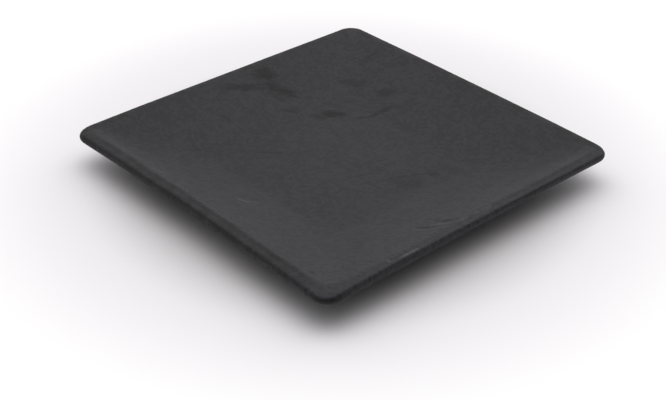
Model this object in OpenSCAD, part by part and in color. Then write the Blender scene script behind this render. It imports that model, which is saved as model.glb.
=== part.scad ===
// Square plate: a flat square well, a hollow wall that turns over a crown into a narrow rim with a
// full round lip, an underside that follows them, and a low square foot ring that is ground flat.
// The clay plate carries two coats of glaze, which the bare face of the foot ring parts.
// The origin is the middle of the foot's resting plane, with the sides along X and Y and +Z up.

/* [Plate] */
// Side of the plate over the glazed lip
plate_side = 260; // [230:1:300]
// Radius of the plate's corners in plan
corner_radius = 11; // [6:0.5:20]
// Thickness of the glazed wall and rim, which is also that of the round lip
wall_thickness = 7.6; // [6:0.1:8.4]

/* [Dish] */
// Depth from the top of the rim to the floor of the well
dish_depth = 18.9; // [16:0.1:24]
// Side of the flat well, measured to where floor and wall would meet
well_side = 129; // [100:1:144]
// Radius of the well's corners in plan
well_corner_radius = 18; // [10:1:30]
// Radius of the bend from the well's floor to the wall
well_bend_radius = 25; // [10:1:60]
// Slope of the wall where it leaves that bend, in degrees
wall_slope = 12; // [6:0.5:14]
// Thickness of the glazed floor
floor_thickness = 5.2; // [4:0.1:8]

/* [Rim] */
// Radius of the crown, over which the wall turns into the rim
crown_radius = 10; // [9:0.5:16]
// Width of the rim's nearly level band, from the crown to the round of the lip
rim_width = 2; // [1:0.5:8]
// Fall of that band toward the lip, in degrees
rim_fall = 4; // [1:0.5:8]

/* [Foot] */
// Depth of the recess inside the foot ring
recess_depth = 2.8; // [2:0.1:5]
// Side of the foot ring over its glazed outer wall
foot_side = 156; // [148:1:180]
// Width of the foot ring with its glaze
foot_width = 5; // [4:0.1:9]
// Radius of the bends where the foot ring meets the underside and the recess
foot_bend_radius = 1.5; // [0.5:0.1:3]
// Radius of the foot ring's edges before it is ground
foot_edge_radius = 0.8; // [0.3:0.1:1.2]
// How much is ground off the foot ring to make it rest flat
foot_grind = 0.25; // [0.1:0.05:0.25]

/* [Glaze] */
// Thickness of the glaze
glaze_thickness = 0.5; // [0.3:0.05:0.8]
// Height above the table up to which the foot ring is wiped bare
bare_height = 0.8; // [0.5:0.1:1.2]

/* [Hidden] */

// Steps along the section's curves and round each corner
bend_steps = 3;
wall_steps = 6;
crown_steps = 4;
brow_steps = 1;
front_steps = 5;
chin_steps = 5;
turn_steps = 3;
underside_steps = 5;
edge_steps = 3;
corner_steps = 8;

// How far a cut runs past what it cuts
overrun = 2;
// Share of the foot ring's glazed height that a bend may take
bend_share = 0.6;

// Main levels and half widths
half_side = plate_side / 2;
half_well = well_side / 2;
half_foot = foot_side / 2;
half_recess = half_foot - foot_width;
floor_level = recess_depth + floor_thickness;
plate_height = floor_level + dish_depth;

// The bend at the well's edge ends where the wall begins, at the wall's first slope
bend_start = half_well - well_bend_radius * tan(wall_slope / 2);
bend_centre = [bend_start, floor_level + well_bend_radius];
wall_start = bend_centre + well_bend_radius * [sin(wall_slope), -cos(wall_slope)];

// The lip is half a circle at the end of the rim's band, and the band touches the crown
lip_radius = wall_thickness / 2;
crown_to_lip = crown_radius - lip_radius;
crown_centre = [
    half_side - lip_radius - crown_to_lip * sin(rim_fall) - rim_width * cos(rim_fall),
    plate_height - crown_radius
];
lip_centre = crown_centre + crown_to_lip * [sin(rim_fall), cos(rim_fall)]
    + rim_width * [cos(rim_fall), -sin(rim_fall)];

// The wall is the arc that leaves the bend at the wall's first slope and touches the crown
crown_to_wall = wall_start - crown_centre;
rise_way = [-sin(wall_slope), cos(wall_slope)];
wall_radius = (crown_to_wall * crown_to_wall - pow(crown_radius, 2))
    / (2 * (crown_radius - crown_to_wall * rise_way));
wall_centre = wall_start + wall_radius * rise_way;
crown_slope = asin((crown_centre[0] - wall_centre[0]) / (wall_radius + crown_radius));

// The underside runs about the same centres as wall and crown, so they keep their thickness
turn_radius = crown_radius - wall_thickness;
underside_radius = wall_radius + wall_thickness;
underside_level = wall_centre[1] - leg(underside_radius, half_foot - wall_centre[0]);

// The bend outside the foot ring touches the underside and the ring's outer wall
outer_bend = min(foot_bend_radius, bend_share * (underside_level - bare_height));
outer_bend_out = half_foot + outer_bend;
outer_bend_centre = [
    outer_bend_out,
    wall_centre[1] - leg(underside_radius + outer_bend, outer_bend_out - wall_centre[0])
];
outer_bend_slope = asin((outer_bend_out - wall_centre[0]) / (underside_radius + outer_bend));

// The bend inside the foot ring touches the recess and the ring's inner wall
inner_bend = min(foot_bend_radius, bend_share * (recess_depth - bare_height));
inner_bend_centre = [half_recess - inner_bend, recess_depth - inner_bend];

// The clay foot ring lies within its glaze, and its edges are rounded before it is ground
clay_foot = half_foot - glaze_thickness;
clay_recess = half_recess + glaze_thickness;
edge_level = foot_edge_radius - foot_grind;

// Other leg of a right triangle with one leg and its long side
function leg(long_side, one_leg) = sqrt(pow(long_side, 2) - pow(one_leg, 2));

// Arc of the section as points [out, up, normal out, normal up], from one direction to another
// about a centre. The side is 1 on a round edge and -1 in a hollow bend
function arc(centre, radius, from, to, steps, side) = [
    for (i = [0 : steps])
        let (way = direction(from + (to - from) * i / steps))
        [centre[0] + radius * way[0], centre[1] + radius * way[1], side * way[0], side * way[1]]
];
function direction(angle) = [cos(angle), sin(angle)];

// Plan corner radius of the plate at a half width: the lip's at the lip, the well's at the well
function plate_corner(out) = corner_radius
    + (well_corner_radius - corner_radius) * (half_side - out) / (half_side - half_well);

// Plan corner radius of the foot ring at a half width, so that the ring keeps its width
function foot_corner(out) = plate_corner(half_foot) - (half_foot - out);

// Stations [half width, corner radius, level, normal out, normal up] of the plate and the foot
function on_plate(points) = [for (p = points) [p[0], plate_corner(p[0]), p[1], p[2], p[3]]];
function on_foot(points) = [for (p = points) [p[0], foot_corner(p[0]), p[1], p[2], p[3]]];

// Stations moved under the surface by a depth, along their normals
function under(stations, depth) = [
    for (s = stations) [s[0] - depth * s[3], s[1] - depth * s[3], s[2] - depth * s[4], s[3], s[4]]
];

function reversed(list) = [for (i = [len(list) - 1 : -1 : 0]) list[i]];
function without_first(list) = [for (i = [1 : len(list) - 1]) list[i]];

// Crown and lip, in arcs that end on the rim's top and on its widest line
rim_points = concat(
    arc(crown_centre, crown_radius, crown_slope + 90, 90, crown_steps, 1),
    without_first(arc(crown_centre, crown_radius, 90, 90 - rim_fall, brow_steps, 1)),
    arc(lip_centre, lip_radius, 90 - rim_fall, 0, front_steps, 1),
    without_first(arc(lip_centre, lip_radius, 0, -90 - rim_fall, chin_steps, 1))
);

// Glazed surface from the well's floor, over the lip and back to the top of the foot's outer wall
face_stations = concat(
    on_plate(arc(bend_centre, well_bend_radius, -90, wall_slope - 90, bend_steps, -1)),
    on_plate(without_first(
        arc(wall_centre, wall_radius, wall_slope - 90, crown_slope - 90, wall_steps, -1))),
    on_plate(without_first(rim_points)),
    on_plate(arc(crown_centre, turn_radius, 90 - rim_fall, 90 + crown_slope, turn_steps, -1)),
    on_plate(without_first(
        arc(wall_centre, underside_radius, crown_slope - 90, outer_bend_slope - 90,
            underside_steps, 1))),
    on_foot(without_first(
        arc(outer_bend_centre, outer_bend, outer_bend_slope + 90, 180, edge_steps, -1)))
);

// Clay under the bare foot: round edge, resting face before it is ground, round edge
foot_stations = concat(
    on_foot(arc([clay_foot - foot_edge_radius, edge_level], foot_edge_radius, 0, -90,
        edge_steps, 1)),
    on_foot(arc([clay_recess + foot_edge_radius, edge_level], foot_edge_radius, -90, -180,
        edge_steps, 1))
);

// Glazed surface inside the foot ring, from the top of its inner wall to the recess's flat
base_stations = on_foot(arc(inner_bend_centre, inner_bend, 0, 90, edge_steps, -1));

// The glazed walls of the foot ring run straight down past the line where they are wiped
face_end = [[half_foot, foot_corner(half_foot), -overrun, 1, 0]];
base_end = [[half_recess, foot_corner(half_recess), -overrun, -1, 0]];

// Outline of a square with round corners, anticlockwise from above
function ring(half_width, radius, level) = [
    for (corner = [0 : 3], i = [0 : corner_steps])
        let (
            angle = 90 * (corner + i / corner_steps),
            middle = 90 * corner + 45,
            reach = half_width - radius
        )
        [
            reach * sign(cos(middle)) + radius * cos(angle),
            reach * sign(sin(middle)) + radius * sin(angle),
            level
        ]
];

// Closed solid through the outlines at the stations, with flat ends
module loft(stations) {
    count = 4 * (corner_steps + 1);
    last = count * (len(stations) - 1);
    points = [for (s = stations) each ring(s[0], s[1], s[2])];
    first_end = [for (i = [count - 1 : -1 : 0]) i];
    last_end = [for (i = [0 : count - 1]) last + i];
    sides = [
        for (k = [0 : count : last - count], i = [0 : count - 1])
            let (j = (i + 1) % count)
            each [[k + i, k + j, k + count + j], [k + i, k + count + j, k + count + i]]
    ];
    polyhedron(points = points, faces = concat([first_end, last_end], sides));
}

// Everything below a level, to cut the foot ring and its glaze
module below(level) {
    width = foot_side + 2 * overrun;
    depth = level + 2 * overrun;
    translate([-width / 2, -width / 2, level - depth])
        cube([width, width, depth]);
}

// Fired clay plate, bare where the foot ring is wiped and ground
module stoneware_body() {
    color([0.46, 0.43, 0.40])
        difference() {
            loft(concat(under(face_stations, glaze_thickness), foot_stations,
                under(base_stations, glaze_thickness)));
            below(0);
        }
}

// Coat of glaze along a line of stations, wiped off below the bare height
module coat(stations) {
    difference() {
        loft(concat(stations, reversed(under(stations, glaze_thickness))));
        below(bare_height);
    }
}

// Glaze over the well, wall, lip and underside, down to the foot ring
module face_glaze() {
    color([0.27, 0.27, 0.28])
        coat(concat(face_stations, face_end));
}

// Glaze in the recess inside the foot ring
module base_glaze() {
    color([0.25, 0.25, 0.26])
        coat(reversed(concat(base_end, base_stations)));
}

stoneware_body();
face_glaze();
base_glaze();
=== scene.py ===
import math
import bmesh
import bpy
import numpy as np
from mathutils import Matrix, Vector


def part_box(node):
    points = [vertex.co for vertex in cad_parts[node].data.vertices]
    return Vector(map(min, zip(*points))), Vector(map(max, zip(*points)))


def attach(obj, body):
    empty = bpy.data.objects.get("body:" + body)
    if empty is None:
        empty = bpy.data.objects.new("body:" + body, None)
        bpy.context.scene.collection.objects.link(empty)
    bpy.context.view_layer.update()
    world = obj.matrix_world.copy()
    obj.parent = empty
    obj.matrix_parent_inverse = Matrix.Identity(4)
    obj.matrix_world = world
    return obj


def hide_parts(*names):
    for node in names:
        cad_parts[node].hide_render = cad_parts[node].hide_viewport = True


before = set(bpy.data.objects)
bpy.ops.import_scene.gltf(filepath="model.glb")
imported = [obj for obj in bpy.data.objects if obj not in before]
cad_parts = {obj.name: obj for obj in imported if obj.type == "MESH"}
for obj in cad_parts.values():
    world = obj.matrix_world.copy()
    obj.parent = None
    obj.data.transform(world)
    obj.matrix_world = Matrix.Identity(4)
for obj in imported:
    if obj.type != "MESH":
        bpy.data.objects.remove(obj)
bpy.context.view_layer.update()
print("frame loaded:", sorted(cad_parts))

mm = 0.001
quarter = math.pi / 2
faceLow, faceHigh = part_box("face_glaze")
clayLow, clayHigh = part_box("stoneware_body")
baseLow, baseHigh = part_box("base_glaze")

# The plate's sizes: the first ones from the frame, the rest as in the CAD file
form = {
    "halfSide": (faceHigh.x - faceLow.x) / 2,
    "height": faceHigh.z,
    "glaze": (faceHigh.x - faceLow.x - clayHigh.x + clayLow.x) / 2,
    "bareHeight": faceLow.z,
    "clayHalfRecess": (baseHigh.x - baseLow.x) / 2,     # the recess in the clay, before its glaze
    "clayRecessTop": baseHigh.z,
    "cornerRadius": 11 * mm,
    "wallThickness": 7.6 * mm,
    "dishDepth": 18.9 * mm,
    "halfWell": 64.5 * mm,
    "wellCornerRadius": 18 * mm,
    "wellBendRadius": 25 * mm,
    "wallSlope": math.radians(12),
    "crownRadius": 10 * mm,
    "rimWidth": 2 * mm,
    "rimFall": math.radians(4),
    "footWidth": 5 * mm,
    "footBendRadius": 1.5 * mm,
    "footEdgeRadius": 0.8 * mm,
    "footGrind": 0.25 * mm,
    "bendShare": 0.6,       # of the foot's glazed height that a bend may take
}
glazeDepth = form["glaze"]
halfSide, halfWell = form["halfSide"], form["halfWell"]
halfRecess = form["clayHalfRecess"] - glazeDepth
halfFoot = halfRecess + form["footWidth"]
recessDepth = form["clayRecessTop"] - glazeDepth
floorLevel = form["height"] - form["dishDepth"]


def arc(centre, radius, start, stop, count, side):
    # centre + radius (cos t, sin t), with the normal side (cos t, sin t), as rows of out, up,
    # normal out, normal up
    t = np.linspace(start, stop, count + 1)
    way = np.stack([np.cos(t), np.sin(t)], axis=1)
    return np.hstack([np.asarray(centre) + radius * way, side * way])


def leg(longSide, oneLeg):
    # the other leg of a right triangle
    return math.sqrt(longSide**2 - oneLeg**2)


# Centres and radii of the section's arcs, worked out as in the CAD file
bendRadius, crownRadius = form["wellBendRadius"], form["crownRadius"]
slope, fall = form["wallSlope"], form["rimFall"]
bendCentre = np.array([halfWell - bendRadius * math.tan(slope / 2), floorLevel + bendRadius])
riseWay = np.array([-math.sin(slope), math.cos(slope)])
wallStart = bendCentre - bendRadius * riseWay
lipRadius = form["wallThickness"] / 2
bandWay = np.array([math.cos(fall), -math.sin(fall)])
bandUp = np.array([math.sin(fall), math.cos(fall)])
toLip = (crownRadius - lipRadius) * bandUp + form["rimWidth"] * bandWay
crownCentre = np.array([halfSide - lipRadius - toLip[0], form["height"] - crownRadius])
lipCentre = crownCentre + toLip
toWall = wallStart - crownCentre
wallRadius = (toWall @ toWall - crownRadius**2) / (2 * (crownRadius - toWall @ riseWay))
wallCentre = wallStart + wallRadius * riseWay
crownSlope = math.asin((crownCentre[0] - wallCentre[0]) / (wallRadius + crownRadius))
turnRadius = crownRadius - form["wallThickness"]
underRadius = wallRadius + form["wallThickness"]
underLevel = wallCentre[1] - leg(underRadius, halfFoot - wallCentre[0])
outerBend = min(form["footBendRadius"], form["bendShare"] * (underLevel - form["bareHeight"]))
outerBendOut = halfFoot + outerBend
outerBendUp = wallCentre[1] - leg(underRadius + outerBend, outerBendOut - wallCentre[0])
outerBendSlope = math.asin((outerBendOut - wallCentre[0]) / (underRadius + outerBend))
innerBend = min(form["footBendRadius"], form["bendShare"] * (recessDepth - form["bareHeight"]))


def plateCorner(out):
    # the plan corner radius runs straight from the well's at its half width to the lip's at the rim
    share = (halfSide - out) / (halfSide - halfWell)
    return form["cornerRadius"] + (form["wellCornerRadius"] - form["cornerRadius"]) * share


def footCorner(out):
    # the foot ring keeps its width round its corners
    return plateCorner(halfFoot) - (halfFoot - out)


def stations(points, corner):
    # rows of half width, corner radius, level, normal out, normal up
    points = np.asarray(points)
    return np.column_stack([points[:, 0], corner(points[:, 0]), points[:, 1], points[:, 2:]])


def plateArc(*given):
    return stations(arc(*given), plateCorner)


def footArc(*given):
    return stations(arc(*given), footCorner)


def under(rows, depth):
    # stations moved back along their normals by a depth
    moved = rows.copy()
    moved[:, 0] -= depth * rows[:, 3]
    moved[:, 1] -= depth * rows[:, 3]
    moved[:, 2] -= depth * rows[:, 4]
    return moved


steps = {"bend": 8, "wall": 50, "crown": 12, "brow": 3, "lip": 18, "turn": 3, "underside": 7, "edge": 4}

# The glazed top from the middle of the well to the end of the rim's band
topRows = np.vstack([
    stations([[0, floorLevel, 0, 1]], plateCorner),
    plateArc(bendCentre, bendRadius, -quarter, slope - quarter, steps["bend"], -1),
    plateArc(wallCentre, wallRadius, slope - quarter, crownSlope - quarter, steps["wall"], -1)[1:],
    plateArc(crownCentre, crownRadius, crownSlope + quarter, quarter, steps["crown"], 1)[1:],
    plateArc(crownCentre, crownRadius, quarter, quarter - fall, steps["brow"], 1)[1:],
    stations([[*(lipCentre + lipRadius * bandUp), *bandUp]], plateCorner),
])
topRows[0, 1] = 0       # the middle of the well has no corners

# Round the lip and along the underside to the wiped line on the foot's outer wall
rimRows = np.vstack([
    plateArc(lipCentre, lipRadius, quarter - fall, -quarter - fall, steps["lip"], 1),
    plateArc(crownCentre, turnRadius, quarter - fall, quarter + crownSlope, steps["turn"], -1),
    plateArc(wallCentre, underRadius, crownSlope - quarter, outerBendSlope - quarter,
             steps["underside"], 1)[1:],
    footArc([outerBendOut, outerBendUp], outerBend, outerBendSlope + quarter, math.pi,
            steps["edge"], -1)[1:],
    stations([[halfFoot, form["bareHeight"], 1, 0]], footCorner),
])

# From the wiped line on the foot's inner wall to the recess
baseRows = np.vstack([
    stations([[halfRecess, form["bareHeight"], -1, 0]], footCorner),
    footArc([halfRecess - innerBend, recessDepth - innerBend], innerBend, 0, quarter, steps["edge"], -1),
])

# The bare clay foot: a round edge, ground off flat at level zero, and a round edge again
edgeRadius = form["footEdgeRadius"]
edgeLevel = edgeRadius - form["footGrind"]
ground = math.asin(edgeLevel / edgeRadius)
footRows = np.vstack([
    footArc([halfFoot - glazeDepth - edgeRadius, edgeLevel], edgeRadius, 0, -ground, steps["edge"], 1),
    footArc([halfRecess + glazeDepth + edgeRadius, edgeLevel], edgeRadius, ground - math.pi, -math.pi,
            steps["edge"], 1),
])
print("section: wall slope %.1f to %.1f degrees, lip centre %.2f mm up"
      % (math.degrees(slope), math.degrees(crownSlope), lipCentre[1] / mm))


def alongRing(halfWidth, radius, share):
    # a quarter of a square ring with round corners, by its length: share runs from -1 to 1 between
    # two diagonals. It is straight for halfWidth - radius each way, and then turns by length / radius
    straight = halfWidth - radius
    length = share * (straight + radius * math.pi / 4)
    turn = np.maximum(np.abs(length) - straight, 0) / np.maximum(radius, 1e-9)      # the radius may be 0
    out = straight + radius * np.cos(turn)
    across = np.sign(length) * (np.minimum(np.abs(length), straight) + radius * np.sin(turn))
    return out, across


def gridSkin(rows, shares):
    # a square grid over (shares, shares), whose square rings are bent into the stations' round-cornered
    # ones: a ring's share is max(|u|, |v|), and its radius and level are read off the stations
    u, v = np.meshgrid(shares, shares, indexing="ij")
    ring = np.maximum(np.abs(u), np.abs(v))
    halfWidth = ring * rows[-1, 0]
    facesX = np.abs(u) >= np.abs(v)
    share = np.divide(np.where(facesX, v, u), ring, out=np.zeros_like(ring), where=ring > 0)
    out, across = alongRing(halfWidth, np.interp(halfWidth, rows[:, 0], rows[:, 1]), share)
    x = np.where(facesX, np.sign(u) * out, across)
    y = np.where(facesX, across, np.sign(v) * out)
    return np.stack([x, y, np.interp(halfWidth, rows[:, 0], rows[:, 2])], axis=-1)


def ringSkin(rows, shares):
    # one closed ring of points per station, anticlockwise from the +X -Y diagonal
    out, across = alongRing(rows[:, :1], rows[:, 1:2], shares[None, :-1])
    level = np.broadcast_to(rows[:, 2:3], out.shape)
    quarters = [(out, across), (-across, out), (-out, -across), (across, -out)]
    return np.concatenate([np.stack([x, y, level], axis=-1) for x, y in quarters], axis=1)


def quads(rows, columns, wrap=False):
    # quads between neighbours of a rows by columns grid of points, closed round the columns if asked
    index = np.arange(rows * columns).reshape(rows, columns)
    if wrap:
        index = np.hstack([index, index[:, :1]])
    corners = [index[:-1, :-1], index[1:, :-1], index[1:, 1:], index[:-1, 1:]]
    return np.stack(corners, axis=-1).reshape(-1, 4)


def sheet(points):
    # an open grid of points as a patch of points and faces
    return points.reshape(-1, 3), quads(*points.shape[:2]).tolist()


def band(points):
    # rings of points as a patch that closes round them
    return points.reshape(-1, 3), quads(*points.shape[:2], wrap=True).tolist()


def seam(fine, coarse):
    # a patch of five-cornered faces between a ring of 2n points and a ring of n points
    n = len(coarse)
    j = np.arange(n)
    corners = [2 * j, 2 * j + 1, (2 * j + 2) % (2 * n), 2 * n + (j + 1) % n, 2 * n + j]
    return np.vstack([fine, coarse]), np.stack(corners, axis=1).tolist()


# The sides come in the order +X, -X, +Y, -Y
warpShape = {
    "from": 0.6,                # share of the half side up to which the plate lies flat
    "rise": (0.5, 0.0, 0.6, 0.6),           # mm by which the middles of the sides stand high
    # mm by which the sides stand out, at five places from one corner to the other
    "out": ((1.0, 0.8, 0.1, 0.3, 0.2), (0, -0.1, -0.1, -0.1, 0),
            (0, -0.1, -0.1, -0.1, 0), (1.3, 0.6, -0.8, -0.2, 1.0)),
    "cornerDrop": (0.5, 0.1, 0.6, 0.3),     # mm by which the ++, -+, -- and +- corners hang
    "crownOut": (0, 1.4, 0.8, 2.2, 2.4),    # mm by which the +X side's crown stands out
    "crownAt": 121.5,           # mm, and how far that reaches
    "crownReach": 4.5,
    "crownLevels": (20, 24),    # mm, from the underside to the top
    # the -Y side's crown wavers by size in mm, turns and phase
    "crownWaver": ((0.5, 14, 0.6), (0.3, 31, 2.1), (0.15, 67, 4.0)),
    # mm by which the tops of the lips lie low, at the same five places
    "edgeLow": ((0.1, 0.1, 0.7, 1.0, 1.0), (0, 0, 0, 0, 0), (0, 0, 0, 0, 0), (0.4, 0.4, 0.5, 0.9, 0.9)),
    "edgeFrom": (119, 122, 122, 122),       # mm, where that begins on each side and where it is whole
    "edgeTo": 125.5,
    "edgeOut": (0.35, 0, 0, 0.3),           # mm by which the lips' shoulders stand out
    "shoulder": 52,             # degrees on the lip's round, and how far it reaches
    "shoulderReach": 16,
}


def smoothStep(share):
    return share**2 * (3 - 2 * share)


def alongSide(values, share):
    # smooth steps between the five values, which lie at shares -1, -1/2, 0, 1/2 and 1
    place = np.clip((share + 1) * 2, 0, 3.999)      # stays short of the last value, which has no next one
    step = smoothStep(place % 1)
    values, first = np.asarray(values), place.astype(int)
    return values[first] * (1 - step) + values[first + 1] * step


def reachPast(share):
    # from 0 where the flat part ends to 1 at the side
    return np.clip((share - warpShape["from"]) / (1 - warpShape["from"]), 0, 1)


def warpSide(points, moved, side, axis, sign):
    # a side rises by its rise times (1 - the square of the share along it) and stands out by its out,
    # both times the square of its reach past the flat part
    share = points[:, :2] / halfSide
    other = share[:, 1 - axis]
    near = reachPast(sign * share[:, axis]) ** 2
    moved[:, 2] += near * np.clip(1 - other**2, 0, 1) * warpShape["rise"][side] * mm
    moved[:, axis] += sign * near * alongSide(warpShape["out"][side], other) * mm


def warpLip(points, moved, side, axis, sign):
    # a lip's top sinks by edgeLow times a smooth step over the rim, and its shoulder goes out from the
    # lip's centre by edgeOut exp(-((turn - shoulder) / shoulderReach)^2), both times 1 - the sixth power
    # of the share along the side
    other = points[:, 1 - axis] / halfSide
    along = np.clip(1 - other**6, 0, 1)
    out, up = sign * points[:, axis] - lipCentre[0], points[:, 2] - lipCentre[1]
    low = warpShape["edgeFrom"][side]
    step = smoothStep(np.clip((sign * points[:, axis] / mm - low) / (warpShape["edgeTo"] - low), 0, 1))
    sink = alongSide(warpShape["edgeLow"][side], other) * np.clip(up / lipRadius, 0, 1) * step * along
    moved[:, 2] -= sink * mm
    turn = np.arctan2(up, out)
    away = (np.degrees(turn) - warpShape["shoulder"]) / warpShape["shoulderReach"]
    bulge = warpShape["edgeOut"][side] * along * np.where(out > -lipRadius, np.exp(-(away**2)), 0)
    moved[:, axis] += sign * bulge * mm * np.cos(turn)
    moved[:, 2] += bulge * mm * np.sin(turn)


def nearCrown(points, distance):
    # exp(-((distance - crownAt) / crownReach)^2) on the top, and 0 on the underside
    low, high = warpShape["crownLevels"]
    onTop = np.clip((points[:, 2] / mm - low) / (high - low), 0, 1)
    return onTop * np.exp(-(((distance / mm - warpShape["crownAt"]) / warpShape["crownReach"]) ** 2))


def warpCrowns(points, moved):
    # the +X crown goes out by crownOut, and the -Y crown wavers by the sum of size sin(turns x + phase),
    # both times 1 - the fourth power of the share along the side
    shareX, shareY = points[:, 0] / halfSide, points[:, 1] / halfSide
    out = alongSide(warpShape["crownOut"], shareY) * np.clip(1 - shareY**4, 0, 1)
    moved[:, 0] += out * mm * nearCrown(points, points[:, 0])
    waver = sum(size * np.sin(turns * shareX + phase) for size, turns, phase in warpShape["crownWaver"])
    moved[:, 1] -= waver * mm * np.clip(1 - shareX**4, 0, 1) * nearCrown(points, -points[:, 1])


def warp(points):
    # slight warp of the fired plate, with x and y as shares of the half side. A corner hangs by its drop
    # times the reaches of both its sides past the flat part
    moved = points.copy()
    for side, (axis, sign) in enumerate(((0, 1), (0, -1), (1, 1), (1, -1))):
        warpSide(points, moved, side, axis, sign)
        warpLip(points, moved, side, axis, sign)
    for drop, signX, signY in zip(warpShape["cornerDrop"], (1, -1, -1, 1), (1, 1, -1, -1)):
        reach = reachPast(signX * points[:, 0] / halfSide) * reachPast(signY * points[:, 1] / halfSide)
        moved[:, 2] -= reach * drop * mm
    warpCrowns(points, moved)
    return moved


# Low relief of the glaze: place in mm, turn in degrees, length and width in mm, height in mm
ripples = [
    (109.5, -28, 28, 6.5, 2.1, -1.20), (113, -31.5, 30, 7, 1.8, 0.42), (107, -17, 0, 7, 2.0, -0.80),
    (116, -15, 42, 9, 2.0, -1.05), (122.5, -7, 70, 3, 1.2, 0.25), (123.5, 4, 85, 4, 1.0, 0.18),
    (124, 14, 95, 5, 1.0, 0.15), (-54, -113, 18, 9, 1.9, -0.40), (-50, -117, 15, 9, 1.6, 0.15),
    (-1, -86, 25, 5, 1.6, 0.35), (2, -81, 35, 6, 1.7, -0.40), (102, -117, 40, 5, 1.6, -0.30),
    (127.9, -62, 90, 48, 0.95, 0.35), (127.7, 10, 90, 40, 1.0, 0.22), (129.1, -36, 90, 2.4, 1.2, -0.35),
    (128.4, -43, 90, 2.0, 1.0, -0.25), (125.6, -76.5, 0, 1.0, 1.0, 0.15),
    (122.3, 88, 90, 42, 2.0, 0.35), (60, -127.3, 0, 34, 1.0, 0.12), (-85, -127.3, 0, 24, 1.0, 0.10),
    (-30, 96, 40, 14, 5, -0.08), (-105, 22, 55, 16, 5, -0.10), (-50, 38, 20, 9, 5, -0.08),
]
# Swells over the whole top: turns along x, turns along y, phase, height in mm
swells = [(5.1, 3.3, 0.4, 0.05), (-3.7, 6.1, 1.9, 0.05), (9.3, -7.9, 0.7, 0.03), (12.1, 10.3, 2.6, 0.02)]


def relief(points):
    # adds to z: for each ripple height exp(-(u / length)^2 - (v / width)^2), with u along its turn and
    # v across, and for each swell height sin(a x + b y + phase) with x and y as shares of the half side
    moved = points.copy()
    x, y = points[:, 0] / mm, points[:, 1] / mm
    for placeX, placeY, turn, length, width, height in ripples:
        c, s = math.cos(math.radians(turn)), math.sin(math.radians(turn))
        u, v = c * (x - placeX) + s * (y - placeY), c * (y - placeY) - s * (x - placeX)
        moved[:, 2] += height * mm * np.exp(-((u / length) ** 2) - (v / width) ** 2)
    for a, b, phase, height in swells:
        wave = a * points[:, 0] / halfSide + b * points[:, 1] / halfSide + phase
        moved[:, 2] += height * mm * np.sin(wave)
    return moved


def reliefTop(points):
    # the relief of a grid of points
    return relief(points.reshape(-1, 3)).reshape(points.shape)


def reliefRim(points):
    # the relief of rings of points, which runs out over the front of the lip
    for row, share in enumerate(np.linspace(1, 0, steps["lip"] // 2)):
        points[row] += share * (relief(points[row]) - points[row])
    return points


# Rings of the grid over the top, denser at the bend and on the rim: half widths and the cells within them
ringPlan = np.array([(0, 0), (32 * mm, 32), (58 * mm, 44), (72 * mm, 56), (98 * mm, 68), (120 * mm, 90),
                     (topRows[-1, 0], 104)])
rings = np.interp(np.arange(ringPlan[-1, 1] + 1), ringPlan[:, 1], ringPlan[:, 0])
rings = rings / rings[-1]
fineGrid = np.concatenate([-rings[:0:-1], rings])
coarseGrid = fineGrid[::2]


def recessSheet(row):
    # a flat sheet within a station's ring
    return gridSkin(np.array([[0, 0, *row[2:]], row]), coarseGrid)


# The skins of the pieces: outer ones are glazed, inner ones are the clay under the glaze
outerTop = reliefTop(gridSkin(topRows, fineGrid))
outerRim = reliefRim(ringSkin(rimRows, fineGrid))
innerTop = reliefTop(gridSkin(under(topRows, glazeDepth), coarseGrid))
innerRim = reliefRim(ringSkin(under(rimRows, glazeDepth), coarseGrid))
footSkin = ringSkin(footRows, coarseGrid)
baseSkin = ringSkin(baseRows, coarseGrid)
baseBack = ringSkin(under(baseRows, glazeDepth), coarseGrid)
recessTop = recessSheet(baseRows[-1])
recessBack = recessSheet(under(baseRows, glazeDepth)[-1])

meshing = {"merge": 0.0002 * mm, "sharpAngle": 40}      # points that near are one, degrees of a sharp edge


def makePiece(name, patches):
    # joins patches of points and faces into one closed mesh, and warps it
    starts = np.cumsum([0] + [len(part) for part, _ in patches[:-1]]).tolist()
    points = warp(np.vstack([part for part, _ in patches]))
    faces = [[corner + start for corner in face]
             for (_, part), start in zip(patches, starts) for face in part]
    mesh = bpy.data.meshes.new(name)
    mesh.from_pydata(points.tolist(), [], faces)
    work = bmesh.new()
    work.from_mesh(mesh)
    bmesh.ops.remove_doubles(work, verts=work.verts, dist=meshing["merge"])
    bmesh.ops.recalc_face_normals(work, faces=work.faces)
    openEdges = sum(1 for e in work.edges if not e.is_manifold)
    work.to_mesh(mesh)
    work.free()
    mesh.shade_smooth()
    mesh.set_sharp_from_angle(angle=math.radians(meshing["sharpAngle"]))
    piece = bpy.data.objects.new(name, mesh)
    bpy.context.scene.collection.objects.link(piece)
    triangles = sum(len(p.vertices) - 2 for p in mesh.polygons)
    print("piece", name, "triangles", triangles, "open edges", openEdges)
    return piece


face = makePiece("plate_glaze", [
    sheet(outerTop), band(outerRim), sheet(innerTop), band(innerRim), seam(outerRim[-1], innerRim[-1])])
clay = makePiece("plate_clay", [
    sheet(innerTop), band(innerRim), band(np.stack([innerRim[-1], footSkin[0]])), band(footSkin),
    band(np.stack([footSkin[-1], baseBack[0]])), band(baseBack), sheet(recessBack)])
base = makePiece("recess_glaze", [
    band(baseSkin), sheet(recessTop), band(baseBack), sheet(recessBack),
    band(np.stack([baseSkin[0], baseBack[0]]))])
for piece, node, slot in ((face, "face_glaze", "matt_glaze"), (clay, "stoneware_body", "bare_clay"),
                          (base, "base_glaze", "matt_glaze")):
    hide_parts(node)
    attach(piece, "root")


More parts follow.
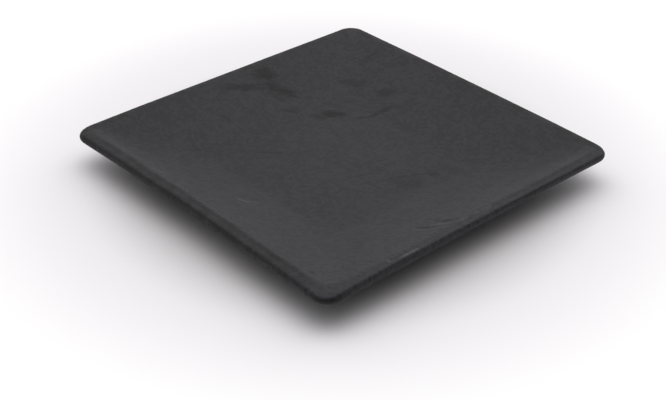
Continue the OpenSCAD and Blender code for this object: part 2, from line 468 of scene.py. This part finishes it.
def addNode(tree, kind, inputs=None, **settings):
    # a shader node with its settings, and its inputs set or linked
    node = tree.nodes.new(kind)
    for key, value in settings.items():
        setattr(node, key, value)
    for key, value in (inputs or {}).items():
        if isinstance(value, bpy.types.NodeSocket):
            tree.links.new(value, node.inputs[key])
        else:
            node.inputs[key].default_value = value
    return node


def mathNode(tree, operation, *values, clamp=False):
    node = addNode(tree, "ShaderNodeMath", dict(enumerate(values)), operation=operation, use_clamp=clamp)
    return node.outputs[0]


def vectorNode(tree, operation, *values):
    node = addNode(tree, "ShaderNodeVectorMath", dict(enumerate(values)), operation=operation)
    return node.outputs["Value" if operation in ("DISTANCE", "DOT_PRODUCT") else "Vector"]


def addUp(tree, start, terms):
    # the start plus each value times its share
    for value, share in terms:
        start = mathNode(tree, "MULTIPLY_ADD", value, share, start)
    return start


def ramp(tree, value, low, high, first=0.0, last=1.0, smooth=False):
    # from first where the value is low to last where it is high, and level past them
    node = addNode(tree, "ShaderNodeMapRange", {"Value": value, "From Min": low, "From Max": high,
                                                "To Min": first, "To Max": last},
                   interpolation_type="SMOOTHSTEP" if smooth else "LINEAR")
    return node.outputs[0]


def blend(tree, share, first, second):
    # a share of the second colour in the first. Each is a socket, or red, green and blue
    first, second = (c if isinstance(c, bpy.types.NodeSocket) else (*c, 1) for c in (first, second))
    return addNode(tree, "ShaderNodeMix", {0: share, 6: first, 7: second}, data_type="RGBA").outputs[2]


def newGroup(name, inputs, outputs):
    # a node group with its sockets, given as name and kind, and the sockets to use inside it
    group = bpy.data.node_groups.new(name, "ShaderNodeTree")
    for socket, kind in inputs:
        group.interface.new_socket(socket, in_out="INPUT", socket_type="NodeSocket" + kind)
    for socket, kind in outputs:
        group.interface.new_socket(socket, in_out="OUTPUT", socket_type="NodeSocket" + kind)
    return group, group.nodes.new("NodeGroupInput").outputs, group.nodes.new("NodeGroupOutput").inputs


def useGroup(tree, group, inputs):
    return addNode(tree, "ShaderNodeGroup", inputs, node_tree=group).outputs


def newMaterial(name):
    # a material with its tree, its Principled shader and its Object coordinates
    material = bpy.data.materials.new(name)
    material.use_nodes = True
    tree = material.node_tree
    position = addNode(tree, "ShaderNodeTexCoord").outputs["Object"]
    return material, tree, tree.nodes["Principled BSDF"], position


# Cloud, mottle and grain of the glaze, each about 0 to 1: scale, detail and roughness of the noise
mottleLook = {"Cloud": (24, 2, 0.5), "Mottle": (110, 3, 0.6), "Grain": (330, 2, 0.6)}
mottleGroup, given, wanted = newGroup(
    "glazeMottle", [("Position", "Vector")], [(output, "Float") for output in mottleLook])
for output, (scale, detail, rough) in mottleLook.items():
    noise = addNode(mottleGroup, "ShaderNodeTexNoise", {
        "Vector": given["Position"], "Scale": scale, "Detail": detail, "Roughness": rough})
    mottleGroup.links.new(noise.outputs["Fac"], wanted[output])

# A mark on the glaze, used for smudges, painted shade and painted highlights: a soft, streaky ellipse at a
# place, turned. Its mask falls from its strength to 0 as (along / length)^2 + (across / width)^2 plus the
# streaky noise goes over the edge
glazeMarkLook = {
    "streaks": (120, 330, 0),       # noise cells in a metre along and across the mark
    "apart": (130, 130, 130),       # sets the noise of one mark apart from the next one's
    "detail": 4,
    "roughness": 0.7,
    "ragged": 4.2,                  # how much the noise adds
    "edge": (-0.3, 1.7),
}
glazeMarkGroup, given, wanted = newGroup(
    "glazeMark", [("Position", "Vector"), ("Place", "Vector"), ("Turn", "Float"), ("Length", "Float"),
                    ("Width", "Float"), ("Strength", "Float")], [("Mask", "Float")])
offset = vectorNode(glazeMarkGroup, "SUBTRACT", given["Position"], given["Place"])
turned = addNode(glazeMarkGroup, "ShaderNodeVectorRotate", {"Vector": offset, "Angle": given["Turn"]},
                 rotation_type="Z_AXIS", invert=True).outputs[0]
parts = addNode(glazeMarkGroup, "ShaderNodeSeparateXYZ", {0: turned}).outputs
alongPart = mathNode(glazeMarkGroup, "DIVIDE", parts["X"], given["Length"])
acrossPart = mathNode(glazeMarkGroup, "DIVIDE", parts["Y"], given["Width"])
streaks = vectorNode(glazeMarkGroup, "ADD", vectorNode(glazeMarkGroup, "MULTIPLY", turned, glazeMarkLook["streaks"]),
                     vectorNode(glazeMarkGroup, "MULTIPLY", given["Place"], glazeMarkLook["apart"]))
ragged = addNode(glazeMarkGroup, "ShaderNodeTexNoise", {
    "Vector": streaks, "Scale": 1.0, "Detail": glazeMarkLook["detail"],
    "Roughness": glazeMarkLook["roughness"]}).outputs["Fac"]
shift = mathNode(glazeMarkGroup, "SUBTRACT", ragged, 0.5)
reach = addUp(glazeMarkGroup, 0.0, ((alongPart, alongPart), (acrossPart, acrossPart),
                                 (shift, glazeMarkLook["ragged"])))
inside = ramp(glazeMarkGroup, reach, *glazeMarkLook["edge"], 1.0, 0.0, smooth=True)
glazeMarkGroup.links.new(mathNode(glazeMarkGroup, "MULTIPLY", inside, given["Strength"]), wanted["Mask"])

# Darker, duller smudges of the glaze, and painted shade in the pit of the ripple at (110, -27): place in
# mm, turn in degrees, half length and half width in mm, strength
smudgesAndPitShade = [
    (-112, 26, 50, 9, 7, 1.0), (-109, 3, 65, 17, 3.5, 0.9), (-96, 26, 40, 15, 5.5, 1.1),
    (-92, 19, 20, 7, 3.5, 0.6), (-75, 19, 60, 7, 3, 0.7), (-54, 42, 40, 11, 6, 1.3),
    (-57, 31, 20, 8, 4, 0.8), (-37, 52, 75, 6, 2.2, 0.7), (-32, 68, 80, 13, 2.4, 0.9),
    (-45, 87, 35, 9, 5, 0.8), (-75, 80, 30, 11, 5, 0.7), (-86, 106, 85, 9, 2.5, 0.5),
    (-41, -28, 45, 9, 2.2, 0.7), (44, 22, 62, 20, 2.4, 0.6), (53, 37, 30, 5, 3, 0.8),
    (52, 15, 50, 11, 6, 0.6), (-76, -67, 20, 5, 2.4, 0.5), (-90, -29, 30, 6, 3, 0.4),
    # the mark at (110, -27) is painted shade in the ripple's pit
    (102, -115, 0, 2.2, 1.6, 0.8), (110, -27, 35, 5.5, 1.6, 1.0), (-89, -104, 10, 4, 2, 0.5),
]
# Painted highlights along the wrinkles' ridges, given alike
ridgeHighlights = [
    (111.2, -31, 28, 8, 1.3, 0.9), (116, -20.5, 42, 9, 1.2, 0.8), (123.2, -8, 70, 3, 1.4, 0.8),
    (124, 2, 85, 3, 1.2, 0.6), (124.4, 12, 90, 5, 1.2, 0.5), (127.9, -61, 90, 9, 1.0, 1.2),
    (126, -76.5, 0, 1.2, 1.2, 0.7), (0.5, -87.5, 30, 5, 1.3, 0.7), (5, -80, 40, 4, 1.0, 0.5),
    (-49, -117, 15, 8, 1.2, 0.4),
]
# A pair of sizes is the two ends of the edge over which an effect comes or goes
glazeLook = {
    "dark": (0.0105, 0.0101, 0.0125),
    "pale": (0.0199, 0.0193, 0.0229),
    "spread": (1.5, 1.9),           # from dark to pale, in the sum of the next four
    "cloud": 0.4,
    "mottle": 1.2,
    "grain": 1.8,
    "grit": 3.4,                    # rougher grain on the near part of the +X wall and on the -Y crown
    "gritMiddle": 0.43,
    "gritWall": (92 * mm, 108 * mm),
    "gritEnd": (50 * mm, 10 * mm),
    "gritCrown": (-108 * mm, -118 * mm),
    "gritCrownShare": 0.6,
    # colour of the smudges, also used for painted shade on the well's floor and in a pit
    "smudgeAndShade": (0.0078, 0.0074, 0.0086),
    # colour of the painted highlights on the wrinkles' ridges
    "ridgeHighlight": (0.0520, 0.0510, 0.0550),
    "topLevel": -18.5 * mm,         # marks lie above the line topLevel + topSlope ring, which runs inside
    "topSlope": 0.325,              # the wall. Ring is the larger of |x| and |y|
    "wellFloorShade": 0.12,                   # painted shade: share of the smudges' colour on the well's floor
    "wellFloorShadeEdge": (50 * mm, 78 * mm),
    "darkRim": (0.0100, 0.0100, 0.0106),        # darker glaze over the rim, in patches
    "darkRimEdge": (119.5 * mm, 124 * mm),
    "darkRimSides": (0.1, 1.0, 1.0, 0.6),       # on the +X, -X, +Y, -Y sides
    "darkRimPatches": (0.42, 0.56, 0.5, 1.2),   # two values of the mottle, and the share of the darker rim glaze there
    "cornerShade": (0.0035, 0.0034, 0.0040),      # painted shade down the front of the +- corner
    "corner": (234 * mm, 248 * mm),         # x - y
    "front": (25 * mm, 23 * mm),            # level
    "wiped": (0.0300, 0.0240, 0.0190),      # thin glaze at the wiped line of the foot
    "wipedHeight": 0.9 * mm,
    "wipedShare": 0.8,
    "specular": 0.26,
    "roughness": 0.46,
    "mottleRoughness": 0.06,        # what mottle, grain, the smudges' mask and the darker rim add to it
    "grainRoughness": 0.06,
    "smudgeRoughness": 0.12,
    "darkRimRoughness": 0.14,
    "bump": 0.32 * mm,
}


def markMask(tree, flat, marks):
    # the strongest mark at each place
    mask = 0.0
    for x, y, turn, length, width, strength in marks:
        mark = useGroup(tree, glazeMarkGroup, {
            "Position": flat, "Place": (x * mm, y * mm, 0), "Turn": math.radians(turn),
            "Length": length * mm, "Width": width * mm, "Strength": strength})["Mask"]
        mask = mathNode(tree, "MAXIMUM", mask, mark)
    return mask


def gritGrain(tree, place, grain):
    # how far the grain is from its middle, where the glaze is rougher
    onWall = mathNode(tree, "MULTIPLY", ramp(tree, place["X"], *glazeLook["gritWall"]),
                      ramp(tree, place["Y"], *glazeLook["gritEnd"]))
    onCrown = ramp(tree, place["Y"], *glazeLook["gritCrown"], 0.0, glazeLook["gritCrownShare"])
    coarse = mathNode(tree, "MAXIMUM", onWall, onCrown)
    return mathNode(tree, "MULTIPLY", coarse, mathNode(tree, "SUBTRACT", grain, glazeLook["gritMiddle"]))


def darkRimMask(tree, place, mottle, corner):
    # rises from 0 to a side's strength over its rim, in patches, and leaves out the corner
    darkRim = 0.0
    for (axis, sign), strength in zip((("X", 1), ("X", -1), ("Y", 1), ("Y", -1)), glazeLook["darkRimSides"]):
        low, high = (sign * size for size in glazeLook["darkRimEdge"])
        darkRim = mathNode(tree, "MAXIMUM", darkRim, ramp(tree, place[axis], low, high, 0.0, strength, smooth=True))
    darkRim = mathNode(tree, "MULTIPLY", darkRim, ramp(tree, mottle, *glazeLook["darkRimPatches"]), clamp=True)
    return mathNode(tree, "MULTIPLY", darkRim, mathNode(tree, "SUBTRACT", 1.0, corner))


def makeGlaze(name, marked):
    # matt charcoal glaze: pale cloud over dark, duller smudges, painted shade on the well's floor and in a
    # pit, painted highlights on the ridges, a darker, rougher rim, painted shade on the corner's front, a
    # thin wiped line, and fine grain in colour and relief
    material, tree, shader, position = newMaterial(name)
    mottle = useGroup(tree, mottleGroup, {"Position": position})
    place = addNode(tree, "ShaderNodeSeparateXYZ", {0: position}).outputs
    ring = mathNode(tree, "MAXIMUM", *(mathNode(tree, "ABSOLUTE", place[axis]) for axis in ("X", "Y")))
    flat = vectorNode(tree, "MULTIPLY", position, (1, 1, 0))
    onTop = mathNode(tree, "GREATER_THAN", place["Z"],
                     addUp(tree, glazeLook["topLevel"], ((ring, glazeLook["topSlope"]),)))
    # the smudges with one pit's painted shade, and painted highlights on the ridges
    smudgeAndShade, ridgeHighlight = (mathNode(tree, "MULTIPLY", markMask(tree, flat, marks if marked else []), onTop)
                     for marks in (smudgesAndPitShade, ridgeHighlights))
    # painted shade: the well's floor darkened with the smudges' colour
    wellFloorShade = ramp(tree, ring, *glazeLook["wellFloorShadeEdge"], glazeLook["wellFloorShade"], 0.0, smooth=True)
    smudgeAndShade = mathNode(tree, "MAXIMUM", smudgeAndShade, wellFloorShade)
    grit = gritGrain(tree, place, mottle["Grain"])
    fromMiddle = mathNode(tree, "SUBTRACT", place["X"], place["Y"])
    corner = ramp(tree, fromMiddle, *glazeLook["corner"], smooth=True)
    darkRim = darkRimMask(tree, place, mottle["Mottle"], corner)
    # painted shade on the front of the +- corner
    front = mathNode(tree, "MULTIPLY", ramp(tree, place["Z"], *glazeLook["front"]), corner)
    wiped = ramp(tree, place["Z"], form["bareHeight"], form["bareHeight"] + glazeLook["wipedHeight"],
                 glazeLook["wipedShare"], 0.0)
    mix = addUp(tree, 0.0, ((mottle["Cloud"], glazeLook["cloud"]), (mottle["Mottle"], glazeLook["mottle"]),
                            (mottle["Grain"], glazeLook["grain"]), (grit, glazeLook["grit"])))
    colour = blend(tree, ramp(tree, mix, *glazeLook["spread"]), glazeLook["dark"], glazeLook["pale"])
    coats = {"smudgeAndShade": smudgeAndShade, "ridgeHighlight": ridgeHighlight, "darkRim": darkRim, "cornerShade": front, "wiped": wiped}
    for coat, share in coats.items():
        colour = blend(tree, share, colour, glazeLook[coat])
    tree.links.new(colour, shader.inputs["Base Color"])
    rough = addUp(tree, glazeLook["roughness"], (
        (mottle["Mottle"], glazeLook["mottleRoughness"]), (mottle["Grain"], glazeLook["grainRoughness"]),
        (smudgeAndShade, glazeLook["smudgeRoughness"]), (darkRim, glazeLook["darkRimRoughness"])))
    tree.links.new(rough, shader.inputs["Roughness"])
    shader.inputs["Specular IOR Level"].default_value = glazeLook["specular"]
    height = mathNode(tree, "ADD", mathNode(tree, "ADD", mottle["Grain"], mottle["Mottle"]), grit)
    bump = addNode(tree, "ShaderNodeBump", {
        "Height": height, "Strength": 1.0, "Distance": glazeLook["bump"]})
    tree.links.new(bump.outputs[0], shader.inputs["Normal"])
    return material


# Dots of a second colour in a clay: 0 to 1
speckGroup, given, wanted = newGroup(
    "claySpecks", [("Position", "Vector"), ("Scale", "Float"), ("Size", "Float")], [("Mask", "Float")])
cells = addNode(speckGroup, "ShaderNodeTexVoronoi", {"Vector": given["Position"], "Scale": given["Scale"]})
dots = ramp(speckGroup, cells.outputs["Distance"], 0.0, given["Size"], 1.0, 0.0)
speckGroup.links.new(dots, wanted["Mask"])

clayLook = {
    "body": (0.34, 0.31, 0.28),
    "shade": (0.26, 0.235, 0.21),
    "speck": (0.12, 0.09, 0.07),
    "speckScale": 420.0,            # cells in a metre
    "speckSize": 0.22,              # share of a cell
    "roughness": 0.85,
    "grainRoughness": 0.1,
    "bump": 0.15 * mm,
    "bumpStrength": 0.6,
}


def makeClay():
    # bare fired clay: two mottled colours, dark specks and a fine grain
    material, tree, shader, position = newMaterial("bareClay")
    mottle = useGroup(tree, mottleGroup, {"Position": position})
    specks = useGroup(tree, speckGroup, {"Position": position, "Scale": clayLook["speckScale"],
                                         "Size": clayLook["speckSize"]})["Mask"]
    colour = blend(tree, mottle["Mottle"], clayLook["shade"], clayLook["body"])
    colour = blend(tree, specks, colour, clayLook["speck"])
    tree.links.new(colour, shader.inputs["Base Color"])
    rough = addUp(tree, clayLook["roughness"], ((mottle["Grain"], clayLook["grainRoughness"]),))
    tree.links.new(rough, shader.inputs["Roughness"])
    bump = addNode(tree, "ShaderNodeBump", {
        "Height": mottle["Grain"], "Strength": clayLook["bumpStrength"], "Distance": clayLook["bump"]})
    tree.links.new(bump.outputs[0], shader.inputs["Normal"])
    return material


for piece, node, material in ((face, "face_glaze", makeGlaze("faceGlaze", True)),
                              (clay, "stoneware_body", makeClay()),
                              (base, "base_glaze", makeGlaze("baseGlaze", False))):
    for owner in (piece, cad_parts[node]):
        owner.data.materials.clear()
        owner.data.materials.append(material)
print("materials done:", len(smudgesAndPitShade), "smudgesAndPitShade")

# White paper in three shades, darker near the plate as a painted shadow and halo round it, with the centre
# and the radii in metres of each fade to a paler one
paper = {
    "size": 6.0,
    # painted shadow: the paper's colour under and round the plate
    "near": (0.609, 0.592, 0.602),
    "middle": (0.815, 0.796, 0.815),
    "middleAt": (0, 0, 0),
    "middleFade": (0.125, 0.185),
    "far": (0.902, 0.893, 0.898),
    "farAt": (-0.0095, 0.0035, 0),
    "farFade": (0.17, 0.29),
    "glow": 0.060,                  # the camera alone sees the far paper a little whiter,
    "whiteGlow": 0.10,              # and more so farther out
    "whiteFade": (0.32, 0.5),
    "roughness": 0.9,
}


def makePaper():
    # its colour goes over to the next one by the distance from the fade's centre; the darker near shades
    # are a painted shadow round the plate
    material, tree, shader, position = newMaterial("paper")
    colour = paper["near"]
    for shade in ("middle", "far"):
        away = vectorNode(tree, "DISTANCE", position, paper[shade + "At"])
        fade = ramp(tree, away, *paper[shade + "Fade"], smooth=True)
        colour = blend(tree, fade, colour, paper[shade])
    tree.links.new(colour, shader.inputs["Base Color"])
    white = ramp(tree, away, *paper["whiteFade"])
    glow = addUp(tree, 0.0, ((fade, paper["glow"]), (white, paper["whiteGlow"])))
    seen = addNode(tree, "ShaderNodeLightPath").outputs["Is Camera Ray"]
    tree.links.new(mathNode(tree, "MULTIPLY", glow, seen), shader.inputs["Emission Strength"])
    shader.inputs["Emission Color"].default_value = (1, 1, 1, 1)
    shader.inputs["Roughness"].default_value = paper["roughness"]
    shader.inputs["Specular IOR Level"].default_value = 0.0
    return material


half = paper["size"] / 2
floorMesh = bpy.data.meshes.new("floor")
floorMesh.from_pydata([(-half, -half, 0), (half, -half, 0), (half, half, 0), (-half, half, 0)], [],
                      [(0, 1, 2, 3)])
floor = bpy.data.objects.new("floor", floorMesh)
bpy.context.scene.collection.objects.link(floor)
floor.data.materials.append(makePaper())

# Soft lights from behind the plate and from above its sides: height, heading from the picture's back
# toward its left, both in degrees, and strength
softLights = [(90, 0, 1.84), (58, 60, 1.30), (58, -60, 1.38), (30, 90, 0.35), (8, 0, 0.68), (8, 30, 0.44),
              (8, -30, 0.37), (8, 50, 0.25), (8, -50, 0.84)]
skyLook = {"back": 137.57, "softness": 8.0, "around": 0.02, "white": 1.0}


def makeSky():
    # the sum of each light's strength exp(softness (cosine of the angle from its middle - 1)), and plain
    # white where the camera sees it
    world = bpy.data.worlds.new("studio")
    world.use_nodes = True
    tree = world.node_tree
    way = addNode(tree, "ShaderNodeTexCoord").outputs["Generated"]
    light = skyLook["around"]
    for height, heading, strength in softLights:
        up, turn = math.radians(height), math.radians(skyLook["back"] + heading)
        middle = (math.cos(up) * math.cos(turn), math.cos(up) * math.sin(turn), math.sin(up))
        cosine = vectorNode(tree, "DOT_PRODUCT", way, middle)
        power = mathNode(tree, "MULTIPLY", mathNode(tree, "SUBTRACT", cosine, 1.0), skyLook["softness"])
        light = addUp(tree, light, ((mathNode(tree, "EXPONENT", power), strength),))
    seen = addNode(tree, "ShaderNodeLightPath").outputs["Is Camera Ray"]
    strength = addNode(tree, "ShaderNodeMix", {0: seen, 2: light, 3: skyLook["white"]}).outputs[0]
    background = tree.nodes["Background"]
    background.inputs["Color"].default_value = (1, 1, 1, 1)
    tree.links.new(strength, background.inputs["Strength"])
    return world


bpy.context.scene.world = makeSky()
print("studio done:", len(softLights), "soft lights")

# Camera, as fitted to the plate's outline in the photograph
cameraFit = {
    "azimuth": 47.57,       # degrees, 0 looks along +Y
    "elevation": 32.67,
    "roll": 0.865,
    "distance": 0.8618,
    "lens": 72.84,          # mm, on a sensor of this width
    "sensor": 36,
    "clip": (0.01, 30),
    "aim": (0.0498, -0.0522),   # the point on the lip's plane in the middle of the picture
}


def placeCamera():
    # back runs from the aim to the camera, and the picture's right is turned by roll out of the level
    azimuth, elevation, roll = (math.radians(cameraFit[key]) for key in ("azimuth", "elevation", "roll"))
    back = Vector((math.cos(elevation) * math.sin(azimuth), -math.cos(elevation) * math.cos(azimuth),
                   math.sin(elevation)))
    level = Vector((math.cos(azimuth), math.sin(azimuth), 0))
    right = level * math.cos(roll) + back.cross(level) * math.sin(roll)
    data = bpy.data.cameras.new("camera")
    data.lens, data.sensor_width = cameraFit["lens"], cameraFit["sensor"]
    data.clip_start, data.clip_end = cameraFit["clip"]
    camera = bpy.data.objects.new("camera", data)
    bpy.context.scene.collection.objects.link(camera)
    turn = Matrix((right, back.cross(right), back)).transposed().to_4x4()
    target = Vector((*cameraFit["aim"], lipCentre[1]))
    camera.matrix_world = Matrix.Translation(target + back * cameraFit["distance"]) @ turn
    return camera


bpy.context.scene.camera = placeCamera()
bpy.context.scene.view_settings.view_transform = "Standard"
